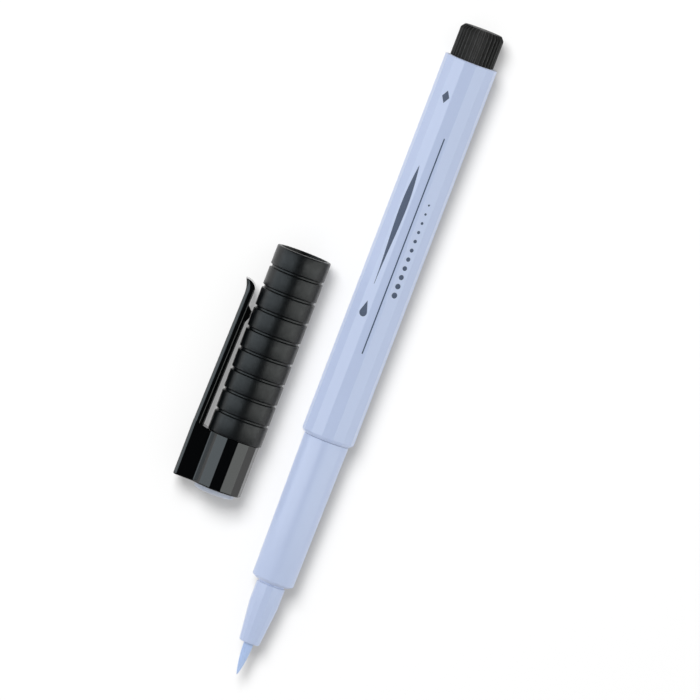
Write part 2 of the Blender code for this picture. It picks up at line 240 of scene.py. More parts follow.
def polished_styrene(colour):
    """Black styrene from a polished mould: mirror-like, with the faint waves of shrinking plastic."""
    material, shader = new_material("polished_styrene_black")
    place = add_node(material, "TexCoord").outputs["Object"]
    wave = add_node(material, "TexNoise", Vector=place, Scale=per_metre(3 * MM), Detail=1.0)
    noise = {"Vector": place, "Scale": per_metre(0.5 * MM), "Detail": 4.0, "Roughness": 0.7}
    scuff = add_node(material, "TexNoise", **noise)
    gloss = add_node(material, "MapRange", Value=scuff, To_Min=0.07, To_Max=0.15)
    bump = add_node(material, "Bump", Height=wave, Strength=0.04, Distance=0.02 * MM)
    feed(material, shader, Base_Color=opaque(colour), Roughness=gloss, Normal=bump, IOR=1.55)


def bonded_brush_fibre(colour, mouth_y):
    """Synthetic fibre soaked with ink: dull, streaked along the brush, with painted shade at the nose's
    mouth.
    """
    material, shader = new_material("bonded_brush_fibre")
    place = add_node(material, "TexCoord").outputs["Object"]
    # Streaks are drawn coarser than real fibres, so that they show
    streak = streaks(material, place, 0.12 * MM, 3 * MM, 2.0)
    tone = add_node(material, "Mix", RGBA, Factor=streak, **shades(colour, 0.84, 1.16))
    along = add_node(material, "SeparateXYZ", Vector=place).outputs["Y"]
    # Painted shade: the fibre darkens over its last 0.7 mm towards the nose's mouth, where the rim
    # shades it
    span = {"From_Min": mouth_y - 0.7 * MM, "From_Max": mouth_y, "To_Min": 0.0, "To_Max": 0.55}
    mouth_shade = add_node(material, "MapRange", SOFT_STEP, Value=along, **span)
    mouth_shaded_tone = add_node(material, "Mix", RGBA, Factor=mouth_shade, A=tone, B=opaque(colour, 0.35))
    bump = add_node(material, "Bump", Height=streak, Strength=0.5, Distance=0.05 * MM)
    feed(material, shader, Base_Color=mouth_shaded_tone, Normal=bump, Roughness=0.62, IOR=1.5)


def pad_print_ink(colour):
    """Pad-printed ink: a thin navy film, slightly uneven in cover."""
    material, shader = new_material("pad_print_ink_navy")
    place = add_node(material, "TexCoord").outputs["Object"]
    cover = add_node(material, "TexNoise", Vector=place, Scale=per_metre(0.3 * MM), Detail=2.0)
    tone = add_node(material, "Mix", RGBA, Factor=cover, **shades(colour, 0.8, 1.4))
    feed(material, shader, Base_Color=tone, Roughness=0.45, IOR=1.5)


def natural_polyethylene(colour):
    """Uncoloured polyethylene: milky, waxy and soft in its highlights."""
    material, shader = new_material("natural_polyethylene")
    place = add_node(material, "TexCoord").outputs["Object"]
    cloud = add_node(material, "TexNoise", Vector=place, Scale=per_metre(2 * MM), Detail=3.0)
    tone = add_node(material, "Mix", RGBA, Factor=cloud, **shades(colour, 0.93, 1.04))
    feed(material, shader, Base_Color=tone, Roughness=0.42, IOR=1.51)


def inked_felt(colour):
    """Fibre core soaked with ink: matt, streaked along its length, blotched where the ink is thin."""
    material, shader = new_material("inked_felt")
    place = add_node(material, "TexCoord").outputs["Object"]
    # Streaks are drawn coarser than real fibres, so that they show
    streak = streaks(material, place, 0.2 * MM, 6 * MM, 3.0)
    tone = add_node(material, "Mix", RGBA, Factor=streak, **shades(colour, 0.7, 1.25))
    feed(material, shader, Base_Color=tone, Roughness=0.9)


def white_table(colour):
    """Pale table top that shows as white to the camera and in reflections, and keeps the shadows."""
    material, shader = new_material("white_table")
    rays = add_node(material, "LightPath").outputs
    mirrored = add_node(material, "Math", LARGER, rays["Is Glossy Ray"], rays["Is Transmission Ray"])
    seen = add_node(material, "Math", LARGER, rays["Is Camera Ray"], mirrored)
    glow = add_node(material, "Math", PRODUCT, seen, TABLE_LIFT)
    feed(material, shader, Base_Color=opaque(colour), Roughness=0.9, Specular_IOR_Level=0.0)
    feed(material, shader, Emission_Color=WHITE, Emission_Strength=glow)


# Outline helper: outlines are drawn as radius and y, and then turned about an axis that runs along Y


def eased(corners, steps=4):
    """Points of an open outline whose corners (radius, y, rounding) become arcs of that rounding."""
    points = []
    for i, (radius, y, rounding) in enumerate(corners):
        here = Vector((radius, y))
        if rounding == 0 or i in (0, len(corners) - 1):
            points.append(tuple(here))
            continue
        back = (Vector(corners[i - 1][:2]) - here).normalized()
        ahead = (Vector(corners[i + 1][:2]) - here).normalized()
        half_angle = back.angle(ahead) / 2
        reach = rounding / math.tan(half_angle)
        centre = here + (back + ahead).normalized() * (rounding / math.sin(half_angle))
        start = here + back * reach - centre
        sweep = start.angle_signed(here + ahead * reach - centre)
        for k in range(steps + 1):
            spoke = start.copy()
            spoke.rotate(Matrix.Rotation(-sweep * k / steps, 2))
            points.append(tuple(centre + spoke))
    return points


# Modelling helpers, which work as by hand with the mesh operators


def draw_path(name, points):
    """A new mesh in edit mode whose single run of edges goes through these points."""
    bpy.ops.object.select_all(action="DESELECT")
    bpy.ops.mesh.primitive_plane_add(size=MM)
    made = bpy.context.object
    made.name = name
    made.data.name = name
    bpy.ops.object.mode_set(mode="EDIT")
    bpy.ops.mesh.select_mode(type="VERT")
    bpy.ops.mesh.select_all(action="SELECT")
    bpy.ops.mesh.merge(type="CENTER")
    bpy.ops.transform.translate(value=points[0])
    for here, there in zip(points, points[1:]):
        step = tuple(b - a for a, b in zip(here, there))
        bpy.ops.mesh.extrude_vertices_move(TRANSFORM_OT_translate={"value": step})
    return made


def close_surface():
    """Merges doubles and turns every face outwards, in edit mode."""
    bpy.ops.mesh.select_all(action="SELECT")
    bpy.ops.mesh.remove_doubles(threshold=MERGE_DISTANCE)
    bpy.ops.mesh.normals_make_consistent(inside=False)


def turn(name, outline, steps, axis):
    """A piece turned about an axis along Y, left in edit mode. The outline closes on itself."""
    x, z = axis
    loop = list(outline)
    if loop[0][0] > MERGE_DISTANCE:
        loop.append(loop[0])
    made = draw_path(name, [(x + radius, y, z) for radius, y in loop])
    bpy.ops.mesh.select_all(action="SELECT")
    bpy.ops.mesh.spin(steps=steps, angle=math.tau, center=(x, 0, z), axis=(0, 1, 0))
    close_surface()
    return made


def slab(name, points, thick):
    """A closed flat outline drawn out along Z, left in edit mode."""
    made = draw_path(name, [*points, points[0]])
    close_surface()
    bpy.ops.mesh.edge_face_add()
    bpy.ops.mesh.extrude_region_move(TRANSFORM_OT_translate={"value": (0, 0, thick)})
    close_surface()
    return made


def select_edges(piece, wanted):
    """Selects, in edit mode, the edges whose two end points pass the test."""
    bpy.ops.mesh.select_mode(type="EDGE")
    bpy.ops.mesh.select_all(action="DESELECT")
    shape = bmesh.from_edit_mesh(piece.data)
    for edge in shape.edges:
        edge.select_set(wanted(edge.verts[0].co, edge.verts[1].co))
    bmesh.update_edit_mesh(piece.data)


def select_points(piece, wanted):
    """Selects, in edit mode, the points that pass the test."""
    bpy.ops.mesh.select_mode(type="VERT")
    bpy.ops.mesh.select_all(action="DESELECT")
    shape = bmesh.from_edit_mesh(piece.data)
    for point in shape.verts:
        point.select_set(wanted(point.co))
    shape.select_flush(True)
    bmesh.update_edit_mesh(piece.data)


def turn_angle(point, axis):
    return math.atan2(point.z - axis[1], point.x - axis[0])


def axis_distance(point, axis):
    return math.hypot(point.x - axis[0], point.z - axis[1])


def column(point, axis, steps):
    """Number of the lengthwise row that a point of a turned piece lies in."""
    return round(turn_angle(point, axis) / math.tau * steps)


def round_facet_edges(piece, axis, inner_radius, rounding):
    """Rounds the long edges between the outer facets of a turned piece, in edit mode."""
    shortest = 0.2 * MM

    def between_facets(a, b):
        outside = min(axis_distance(a, axis), axis_distance(b, axis)) > inner_radius
        lengthwise = abs(a.y - b.y) > shortest
        same_angle = abs(turn_angle(a, axis) - turn_angle(b, axis)) < FACET_TURN / 10
        return outside and lengthwise and same_angle

    select_edges(piece, between_facets)
    bpy.ops.mesh.bevel(offset=rounding, segments=3, affect="EDGES", clamp_overlap=True)


def select_only(piece):
    """Selects one piece in object mode and makes it active."""
    bpy.ops.object.select_all(action="DESELECT")
    piece.select_set(True)
    bpy.context.view_layer.objects.active = piece


def apply_modifier(piece, kind, **settings):
    """Adds a modifier to a piece in object mode and applies it."""
    select_only(piece)
    modifier = piece.modifiers.new(kind.title(), kind)
    for name, value in settings.items():
        setattr(modifier, name, value)
    bpy.ops.object.modifier_apply(modifier=modifier.name)


def smooth(piece, angle=30, even_flats=False):
    """Leaves edit mode and shades smooth up to an angle, with flat faces kept even where asked."""
    if piece.mode == "EDIT":
        bpy.ops.object.mode_set(mode="OBJECT")
    select_only(piece)
    bpy.ops.object.shade_smooth_by_angle(angle=math.radians(angle))
    if even_flats:
        apply_modifier(piece, "WEIGHTED_NORMAL", keep_sharp=True, weight=90)


def paint(mesh, material):
    """Gives a mesh one material, which is found by its name."""
    mesh.materials.clear()
    mesh.materials.append(bpy.data.materials[material])


def dress(piece, material, body, slot, *nodes):
    """Gives a finished piece its material and its body, and hides the solids that it stands for; the
    slot is not used.
    """
    paint(piece.data, material)
    if body:
        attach(piece, body)
    if nodes:
        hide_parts(*nodes)


# Settings


def length_setting(name, description, default):
    return bpy.props.FloatProperty(name=name, description=description, default=default, unit="LENGTH")


def colour_setting(name, description, hex_colour):
    default = linear(hex_colour)
    return bpy.props.FloatVectorProperty(
        name=name, description=description, default=default, subtype="COLOR", min=0, max=1
    )


class MarkerSizes(bpy.types.PropertyGroup):
    """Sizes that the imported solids' boxes don't give."""

    facet_round: length_setting(
        "Facet edge rounding", "Rounding of the long edges between facets", 0.1 * MM
    )
    barrel_bore: length_setting("Barrel bore", "Radius of the barrel's bore at its corners", 4.6 * MM)
    grip_front: length_setting(
        "Grip front radius", "Radius of the grip section at its front", 4.39 * MM
    )
    nose_mouth: length_setting(
        "Nose mouth radius", "Radius of the nose where the brush comes out", 2.14 * MM
    )
    brush_fullness: bpy.props.FloatProperty(
        name="Brush fullness",
        description="Power of the brush's taper: below 1 it keeps its width longer towards the point",
        default=0.8,
        min=0.3,
        max=1.5,
    )
    plug_rib_depth: length_setting(
        "Plug rib depth", "Depth of the grooves between the end plug's ribs", 0.5 * MM
    )
    groove_width: length_setting(
        "Ring groove width", "Width of the grooves between the cap's rings", 0.75 * MM
    )
    groove_depth: length_setting(
        "Ring groove depth", "Depth of the grooves between the cap's rings", 0.4 * MM
    )


class MarkerColours(bpy.types.PropertyGroup):
    """Colours of the marker's plastics, fibre and print, and of the table."""

    pale_blue: colour_setting("Pale blue", "Barrel, grip section and nose", "#b6c2df")
    # The button's own colour is the barrel's pale blue; this greyer, darker blue is painted shade on
    # the cap's end
    shaded_pale_blue: colour_setting("Grey blue", "Colour button in the end of the cap", "#b0b5c2")
    matt_black: colour_setting("Matt black", "Ringed cap tube", "#090c0e")
    dull_black: colour_setting("Dull black", "End plug", "#151515")
    gloss_black: colour_setting("Gloss black", "Crown and clip", "#030405")
    brush_blue: colour_setting("Brush blue", "Brush nib soaked with ink", "#b2c6ea")
    print_navy: colour_setting("Print navy", "Ink of the marks printed on the barrel", "#33435f")
    milk_white: colour_setting("Milk white", "Inner cap and the reservoir's film", "#dfe1e4")
    table_white: colour_setting("Table white", "Table top under the marker", "#a9a9a9")


# Operators


def spigot_radius(sizes):
    """Radius of a round spigot that is pressed into the barrel's bore, between its flats."""
    return sizes.barrel_bore * math.cos(math.pi / FACETS) - PRESS_GAP


class MARKER_OT_finishes(bpy.types.Operator):
    """Makes the marker's materials and gives the hidden inner solids theirs"""

    bl_idname = "marker.finishes"
    bl_label = "Finishes"

    def execute(self, context):
        colours = context.scene.marker_colours
        satin_polypropylene("satin_polypropylene_pale_blue", colours.pale_blue)
        # The button's material is a copy of the pale blue plastic in a greyer colour, as painted shade
        satin_polypropylene("satin_polypropylene_grey_blue", colours.shaded_pale_blue)
        matt_polypropylene("matt_polypropylene_black", colours.matt_black, 0.29, 0.39)
        matt_polypropylene("dull_polypropylene_black", colours.dull_black, 0.5, 0.62)
        polished_styrene(colours.gloss_black)
        bonded_brush_fibre(colours.brush_blue, near_y("nib_holder"))
        pad_print_ink(colours.print_navy)
        natural_polyethylene(colours.milk_white)
        inked_felt(colours.brush_blue)
        paint(frame["nodes"]["brush_shank"].data, "bonded_brush_fibre")
        paint(frame["nodes"]["ink_reservoir"].data, "inked_felt")
        paint(frame["nodes"]["reservoir_film"].data, "natural_polyethylene")
        return {"FINISHED"}


class MARKER_OT_barrel(bpy.types.Operator):
    """Turns the fourteen-sided barrel and rounds its facet edges"""

    bl_idname = "marker.barrel"
    bl_label = "Barrel"

    def execute(self, context):
        sizes = context.scene.marker_sizes
        front, rear = near_y("barrel"), far_y("barrel")
        bore = sizes.barrel_bore
        chamfer_deep, chamfer_long = 0.6 * MM, 0.65 * MM
        corners = [
            (bore, front, 0),
            (BARREL_CORNER - chamfer_deep, front, 0.08 * MM),
            (BARREL_CORNER, front + chamfer_long, 0.3 * MM),
            (BARREL_CORNER, rear, 0.22 * MM),
            (bore, rear, 0),
        ]
        barrel = turn("barrel_shell", eased(corners), FACETS, PEN_AXIS)
        round_facet_edges(barrel, PEN_AXIS, bore + 0.1 * MM, sizes.facet_round)
        smooth(barrel, even_flats=True)
        dress(barrel, "satin_polypropylene_pale_blue", "pen", "pale_blue_plastic", "barrel")
        return {"FINISHED"}


class MARKER_OT_grip(bpy.types.Operator):
    """Turns the round grip section with its chamfered front and its spigot"""

    bl_idname = "marker.grip"
    bl_label = "Grip section"

    def execute(self, context):
        sizes = context.scene.marker_sizes
        front, spigot_end = near_y("grip_section"), far_y("grip_section")
        rear_radius = half_width("grip_section")
        shoulder = near_y("barrel") - 0.08 * MM
        spigot = spigot_radius(sizes)
        neck = half_width("nib_holder") + 0.12 * MM
        neck_end = far_y("nib_holder") + PRESS_GAP
        room = half_width("reservoir_film") + PRESS_GAP
        chamfer_deep, chamfer_long = 0.9 * MM, 0.55 * MM
        corners = [
            (neck, front, 0),
            (sizes.grip_front - chamfer_deep, front, 0.1 * MM),
            (sizes.grip_front, front + chamfer_long, 0.2 * MM),
            (rear_radius, shoulder, 0.15 * MM),
            (spigot, shoulder, 0),
            (spigot, spigot_end, 0),
            (room, spigot_end, 0),
            (room, neck_end, 0),
            (neck, neck_end, 0),
        ]
        grip = turn("grip_sleeve", eased(corners), ROUND_STEPS, PEN_AXIS)
        smooth(grip)
        dress(grip, "satin_polypropylene_pale_blue", "pen", "pale_blue_plastic", "grip_section")
        return {"FINISHED"}


class MARKER_OT_nose(bpy.types.Operator):
    """Turns the fourteen-sided nose that holds the brush"""

    bl_idname = "marker.nose"
    bl_label = "Nose"

    def execute(self, context):
        sizes = context.scene.marker_sizes
        mouth, rear = near_y("nib_holder"), far_y("nib_holder")
        full = half_width("nib_holder")
        bore = half_width("brush_shank") + 0.22 * MM
        taper, rim = 8.4 * MM, 0.16 * MM
        rim_radius = sizes.nose_mouth + (full - sizes.nose_mouth) * rim / taper
        outline = [(bore, rear), (bore, mouth + rim), (bore + rim, mouth)]
        outline += [(sizes.nose_mouth - rim, mouth), (rim_radius, mouth + rim)]
        outline += [(full, mouth + taper)]
        # A groove sets the nose off from the face of the grip section
        face, groove = near_y("grip_section"), 0.25 * MM
        outline += [(full, face - 2 * groove), (full - groove, face - 1.6 * groove)]
        outline += [(full - groove, face), (full, face + groove), (full, rear)]
        nose = turn("nose_cone", outline, FACETS, PEN_AXIS)
        round_facet_edges(nose, PEN_AXIS, bore + 0.3 * MM, 0.7 * sizes.facet_round)
        smooth(nose, even_flats=True)
        dress(nose, "satin_polypropylene_pale_blue", "pen", "pale_blue_plastic", "nib_holder")
        return {"FINISHED"}


class MARKER_OT_brush(bpy.types.Operator):
    """Turns the brush tip and presses fibre furrows along it, up to the brush's bending point at the
    mouth of the nose
    """

    bl_idname = "marker.brush"
    bl_label = "Brush tip"

    furrows = 22
    points_per_furrow = 3
    furrow_shrink = 0.93
    taper_steps = 16

    def execute(self, context):
        sizes = context.scene.marker_sizes
        tip, base = near_y("brush_tip"), far_y("brush_tip")
        pivot_y = JOINTS["brush_flex"]["pos_m"][1]
        full = half_width("brush_tip")
        length = pivot_y - tip
        blunt, base_edge = 0.1 * MM, 0.3 * MM
        outline = [(0.0, tip), (blunt * 0.6, tip + 0.03 * MM)]
        for i in range(self.taper_steps + 1):
            share = i / self.taper_steps
            swell = math.sin(share * math.pi / 2) ** sizes.brush_fullness
            outline.append((blunt + (full - blunt) * swell, tip + blunt + (length - blunt) * share))
        outline += [(full, base - base_edge), (full - base_edge, base), (0.0, base)]
        steps = self.furrows * self.points_per_furrow
        brush = turn("brush_point", outline, steps, PEN_AXIS)
        furrow_start = tip + 0.3 * MM

        def in_furrow(point):
            away_from_ends = furrow_start < point.y < pivot_y
            return column(point, PEN_AXIS, steps) % self.points_per_furrow == 0 and away_from_ends

        select_points(brush, in_furrow)
        start = (PEN_X, pivot_y, PEN_Z)
        shrink = self.furrow_shrink
        bpy.ops.transform.resize(value=(shrink, 1, shrink), center_override=start)
        smooth(brush, angle=60)
        dress(brush, "bonded_brush_fibre", None, "brush_fibre", "brush_tip")
        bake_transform(brush)
        return {"FINISHED"}


class MARKER_OT_plug(bpy.types.Operator):
    """Turns the end plug and presses the grooves between its ribs"""

    bl_idname = "marker.plug"
    bl_label = "End plug"

    points_per_rib = 6

    def execute(self, context):
        sizes = context.scene.marker_sizes
        spigot_end, end = near_y("end_plug"), far_y("end_plug")
        inside = far_y("barrel")
        seat = inside + 0.06 * MM
        full = half_width("end_plug")
        spigot = spigot_radius(sizes)
        hollow = spigot - 0.9 * MM
        corners = [
            (0, inside, 0),
            (hollow, inside, 0),
            (hollow, spigot_end, 0),
            (spigot, spigot_end, 0.1 * MM),
            (spigot, seat, 0),
            (full, seat, 0.12 * MM),
            (full, end - 0.95 * MM, 0.6 * MM),
            (full - 0.7 * MM, end - 0.08 * MM, 0.45 * MM),
            (0, end, 0),
        ]
        steps = PLUG_RIBS * self.points_per_rib
        plug = turn("ribbed_plug", eased(corners), steps, PEN_AXIS)
        rib_foot, rib_start = full - 0.75 * MM, seat - 0.01 * MM

        def in_groove(point, columns):
            on_ribs = axis_distance(point, PEN_AXIS) > rib_foot and point.y > rib_start
            return on_ribs and column(point, PEN_AXIS, steps) % self.points_per_rib in columns

        # The bottom of each groove takes the whole depth, and its flanks a quarter
        for columns, share in (((0, 1), 1.0), ((2, 5), 0.25)):
            select_points(plug, lambda point: in_groove(point, columns))
            shrink = 1 - share * sizes.plug_rib_depth / full
            bpy.ops.transform.resize(value=(shrink, 1, shrink), center_override=(PEN_X, seat, PEN_Z))
        smooth(plug, angle=50)
        dress(plug, "dull_polypropylene_black", "pen", "matt_black_plastic", "end_plug")
        return {"FINISHED"}


class MARKER_OT_marks(bpy.types.Operator):
    """Prints a plain rule, a swelling stroke, a row of shrinking dots, a drop and a diamond"""

    bl_idname = "marker.marks"
    bl_label = "Printed marks"

    film = 0.012 * MM
    # Marks are cut this thick, which tells their outside, and are then pressed down to the film
    thick = 1 * MM

    def cut_mark(self, name, points):
        """One closed flat mark of (across, along) points."""
        made = slab(name, [(a, b, 0.0) for a, b in points], self.thick)
        bpy.ops.object.mode_set(mode="OBJECT")
        return made

    def print_mark(self, made, facet, across, y, size=1.0):
        """Presses a mark down to a film on a facet counted from the top one."""
        select_only(made)
        tilt = facet * FACET_TURN
        sunk = BARREL_FLAT - self.film / 3
        made.scale = (size, size, self.film / self.thick)
        made.rotation_euler = (0, tilt, 0)
        made.location = (
            PEN_X + sunk * math.sin(tilt) + across * math.cos(tilt),
            y,
            PEN_Z + sunk * math.cos(tilt) - across * math.sin(tilt),
        )
        bpy.ops.object.transform_apply(location=True, rotation=True, scale=True)
        dress(made, "pad_print_ink_navy", "pen", "pale_blue_plastic")

    def print_rule(self):
        start, end, across, half = 0.3 * MM, 46.8 * MM, 0.45 * MM, 0.13 * MM
        rule = [(-half, 0), (half, 0), (half, end - start), (-half, end - start)]
        self.print_mark(self.cut_mark("printed_rule", rule), 0, across, start)

    def print_stroke(self):
        start, length, half_tip, half_full = 14.4 * MM, 25.5 * MM, 0.05 * MM, 0.72 * MM
        steps, lean = 28, 1.6
        right, left = [], []
        for i in range(steps + 1):
            share = i / steps
            half = half_tip + half_full * math.sin(math.pi * share**lean)
            right.append((half, length * share))
            left.append((-half, length * share))
        self.print_mark(self.cut_mark("printed_stroke", right + left[::-1]), -1, 0.0, start)

    def print_dots(self):
        start, pitch, count, corners = 13.6 * MM, 1.95 * MM, 11, 20
        radius, shrink = 0.62 * MM, 0.04 * MM
        turns = [math.tau * k / corners for k in range(corners)]
        circle = [(radius * math.cos(t), radius * math.sin(t)) for t in turns]
        dots = [self.cut_mark("printed_dot_1", circle)]
        for i in range(1, count):
            bpy.ops.object.duplicate()
            copied = bpy.context.object
            copied.name = copied.data.name = f"printed_dot_{i + 1}"
            dots.append(copied)
        for i, dot in enumerate(dots):
            self.print_mark(dot, 1, 0.0, start + pitch * i, 1 - i * shrink / radius)

    def print_drop(self):
        start, radius, height, steps = 8.2 * MM, 0.85 * MM, 3.4 * MM, 24
        drop = [(0.0, height - radius)]
        opening = math.acos(radius / (height - radius))
        for k in range(steps + 1):
            t = math.pi / 2 - opening - (math.tau - 2 * opening) * k / steps
            drop.append((radius * math.cos(t), radius * math.sin(t)))
        self.print_mark(self.cut_mark("printed_drop", drop), -1, 0.0, start)

    def print_diamond(self):
        middle, half_wide, half_long = 54.8 * MM, 0.85 * MM, 1.35 * MM
        diamond = [(half_wide, 0), (0, half_long), (-half_wide, 0), (0, -half_long)]
        self.print_mark(self.cut_mark("printed_diamond", diamond), -1, 0.0, middle)

    def execute(self, context):
        self.print_rule()
        self.print_stroke()
        self.print_dots()
        self.print_drop()
        self.print_diamond()
        return {"FINISHED"}


class MARKER_OT_cap_tube(bpy.types.Operator):
    """Turns the ringed cap tube with its open mouth"""

    bl_idname = "marker.cap_tube"
    bl_label = "Cap tube"

    def execute(self, context):
        sizes = context.scene.marker_sizes
        low, mouth = near_y("cap_tube") - 0.12 * MM, far_y("cap_tube")
        bore = 4.88 * MM
        pitch = (mouth - low) / CAP_RINGS
        floor = TUBE_RADIUS - sizes.groove_depth
        half = sizes.groove_width / 2
        wall = sizes.groove_width / 4
        corners = [(bore, low, 0), (TUBE_RADIUS, low, 0.25 * MM)]
        for i in range(1, CAP_RINGS):
            middle = low + pitch * i
            corners += [
                (TUBE_RADIUS, middle - half, 0.1 * MM),
                (floor, middle - half + wall, 0.05 * MM),
                (floor, middle + half - wall, 0.05 * MM),
                (TUBE_RADIUS, middle + half, 0.1 * MM),
            ]
        corners += [(TUBE_RADIUS, mouth, 0.3 * MM), (bore, mouth, 0.1 * MM), (bore, low + pitch, 0)]
        tube = turn("ringed_tube", eased(corners, steps=3), ROUND_STEPS, CAP_AXIS)
        smooth(tube, angle=40)
        dress(tube, "matt_polypropylene_black", "cap", "matt_black_plastic", "cap_tube")
        return {"FINISHED"}


class MARKER_OT_inner_cap(bpy.types.Operator):
    """Turns the inner cap that seals round the nose"""

    bl_idname = "marker.inner_cap"
    bl_label = "Inner cap"

    def execute(self, context):
        bottom, top = near_y("inner_cap"), far_y("inner_cap")
        outer = half_width("inner_cap")
        inner = outer - 0.43 * MM
        floor = bottom + 0.6 * MM
        corners = [
            (0, bottom, 0),
            (outer, bottom, 0.2 * MM),
            (outer, top, 0.12 * MM),
            (inner, top, 0.25 * MM),
            (inner, floor, 0.3 * MM),
            (0, floor, 0),
        ]
        seal = turn("sealing_cup", eased(corners), ROUND_STEPS // 2, CAP_AXIS)
        smooth(seal)
        dress(seal, "natural_polyethylene", "cap", "milk_white_plastic", "inner_cap")
        return {"FINISHED"}


class MARKER_OT_crown(bpy.types.Operator):
    """Turns the fourteen-sided crown, draws out the clip and joins the two"""

    bl_idname = "marker.crown"
    bl_label = "Crown and clip"

    # The clip's outer side at its root and at its end, and its inner side, from the cap's axis
    root_radius = 9.06 * MM
    end_radius = 8.5 * MM
    inner_radius = 6.76 * MM
    # The plate of its arm at the root, and the rounding of the outer edges
    plate = 1.5 * MM
    outer_round = 0.75 * MM
    section_steps = 6
    # The lip at its end
    lip_out = 0.8 * MM
    lip_flare = 2.9 * MM
    lip_round = 1.9 * MM
    lip_edge = 0.25 * MM

    def make_crown(self, sizes):
        """Fourteen-sided end of the cap, with the seat of the button and the spigot in the tube."""
        low, spigot_end = near_y("cap_crown"), far_y("cap_crown")
        corner = 5.42 * MM
        seat = half_width("colour_button") + 0.12 * MM
        seat_floor = low + 0.45 * MM
        top = near_y("cap_tube") - 0.2 * MM
        bore, spigot = 4.0 * MM, 4.52 * MM
        corners = [
            (seat, low, 0),
            (corner, low, 0.3 * MM),
            (corner, top, 0.12 * MM),
            (spigot, top, 0),
            (spigot, spigot_end, 0),
            (bore, spigot_end, 0),
            (bore, seat_floor, 0),
            (seat, seat_floor, 0),
        ]
        crown = turn("crown_and_clip", eased(corners), FACETS, CAP_AXIS)
        round_facet_edges(crown, CAP_AXIS, spigot + 0.2 * MM, 0.8 * sizes.facet_round)
        bpy.ops.object.mode_set(mode="OBJECT")
        return crown

    def start_section(self, name, corners, y):
        """A filled loop across the clip, mirrored from (reach, height, rounding) corners, at y."""
        half_section = eased(corners, steps=self.section_steps)[1:-1]
        mirrored = half_section + [(reach, -height) for reach, height in half_section[::-1]]
        points = [(CAP_X - reach, y, CAP_Z + height) for reach, height in mirrored]
        made = draw_path(name, points + points[:1])
        close_surface()
        bpy.ops.mesh.edge_face_add()
        return made

    def draw_out(self, length):
        """Extrudes the selected loop along the clip and keeps the new loop selected."""
        bpy.ops.mesh.extrude_edges_move(TRANSFORM_OT_translate={"value": (0, length, 0)})

    def shift(self, made, y, middle, outer, inner, along=0.0):
        """Moves the outer and inner sides of the loop at y, seen from the middle, and selects it."""
        for wanted, reach_more, y_more in ((1, outer, along), (-1, inner, 0.0)):
            select_points(
                made,
                lambda p: abs(p.y - y) < MERGE_DISTANCE and (CAP_X - p.x - middle) * wanted > 0,
            )
            bpy.ops.transform.translate(value=(-reach_more, y_more, 0))
        select_points(made, lambda p: p.y > y - MERGE_DISTANCE)

    def make_block(self, half):
        """Root of the clip: filleted to the crown, round outside, with a slope at the slit's end."""
        low, slit = near_y("cap_crown") + 0.05 * MM, near_y("clip_arm") - 0.05 * MM
        foot, flank, fillet = 4.0 * MM, 4.66 * MM, 0.65 * MM
        slope, slope_middle = 0.9 * MM, 6.0 * MM
        corners = [
            (foot, 0, 0),
            (foot, half + fillet, 0),
            (flank, half, 0.6 * MM),
            (self.root_radius, half, self.outer_round),
            (self.root_radius, 0, 0),
        ]
        block = self.start_section("clip_root", corners, low)
        self.draw_out(slit - low)
        self.shift(block, slit, slope_middle, 0.0, 0.0, along=slope)
        bpy.ops.mesh.edge_face_add()
        close_surface()
        # The end is split where its slope begins to round, so that its faces stay flat
        fold = self.root_radius - self.outer_round

        def on_fold(p):
            return p.y > slit + MERGE_DISTANCE and abs(CAP_X - p.x - fold) < MERGE_DISTANCE

        select_points(block, on_fold)
        bpy.ops.mesh.vert_connect()
        select_edges(block, lambda a, b: max(a.y, b.y) < low + MERGE_DISTANCE)
        bpy.ops.mesh.bevel(offset=0.5 * MM, segments=4, affect="EDGES", clamp_overlap=True)
        bpy.ops.object.mode_set(mode="OBJECT")
        return block

    def make_arm(self, half):
        """Plate of the clip from inside its root to the flared lip, round outside and eased inside."""
        sunk, inner_round = 0.01 * MM, 0.2 * MM
        root, tip = near_y("clip_arm"), far_y("clip_arm")
        start = root - 3 * MM
        out, inside = self.root_radius - sunk, self.root_radius - self.plate
        corners = [
            (inside, 0, 0),
            (inside, half - sunk, inner_round),
            (out, half - sunk, self.outer_round),
            (out, 0, 0),
        ]
        arm = self.start_section("clip_plate", corners, start)
        stations = [(root, out, inside)]
        flare_start, round_start = tip - self.lip_flare, tip - self.lip_round
        length_steps = 10
        for i in range(1, length_steps + 1):
            y = root + (flare_start - root) * i / length_steps
            lean = (y - root) / (flare_start - root)
            slim = (y - root) / (round_start - root)
            to_out = out + (self.end_radius - out) * lean
            to_inside = inside + (self.inner_radius - inside) * slim
            stations.append((y, to_out, to_inside))
        y = start
        for to_y, to_out, to_inside in stations:
            self.draw_out(to_y - y)
            self.shift(arm, to_y, (out + inside) / 2, to_out - out, to_inside - inside)
            y, out, inside = to_y, to_out, to_inside
        # Each step of the lip is a little narrower than the last
        lip_steps, narrowing = 9, 0.985
        deep = self.end_radius + self.lip_out - self.lip_edge - self.inner_radius
        for i in range(lip_steps + 1):
            angle = math.pi / 2 * i / lip_steps
            to_y = tip - self.lip_round * (1 - math.sin(angle))
            to_out = self.end_radius + self.lip_out * (1 - (tip - to_y) / self.lip_flare) ** 2
            to_inside = self.inner_radius + deep * (1 - math.cos(angle))
            slimmer = (to_out - to_inside) / (out - inside)
            middle = (out + inside) / 2
            self.draw_out(to_y - y)
            bpy.ops.transform.resize(
                value=(slimmer, 1, narrowing), center_override=(CAP_X - middle, to_y, CAP_Z)
            )
            bpy.ops.transform.translate(value=(middle - (to_out + to_inside) / 2, 0, 0))
            y, out, inside = to_y, to_out, to_inside
        bpy.ops.mesh.edge_face_add()
        close_surface()
        bpy.ops.object.mode_set(mode="OBJECT")
        return arm

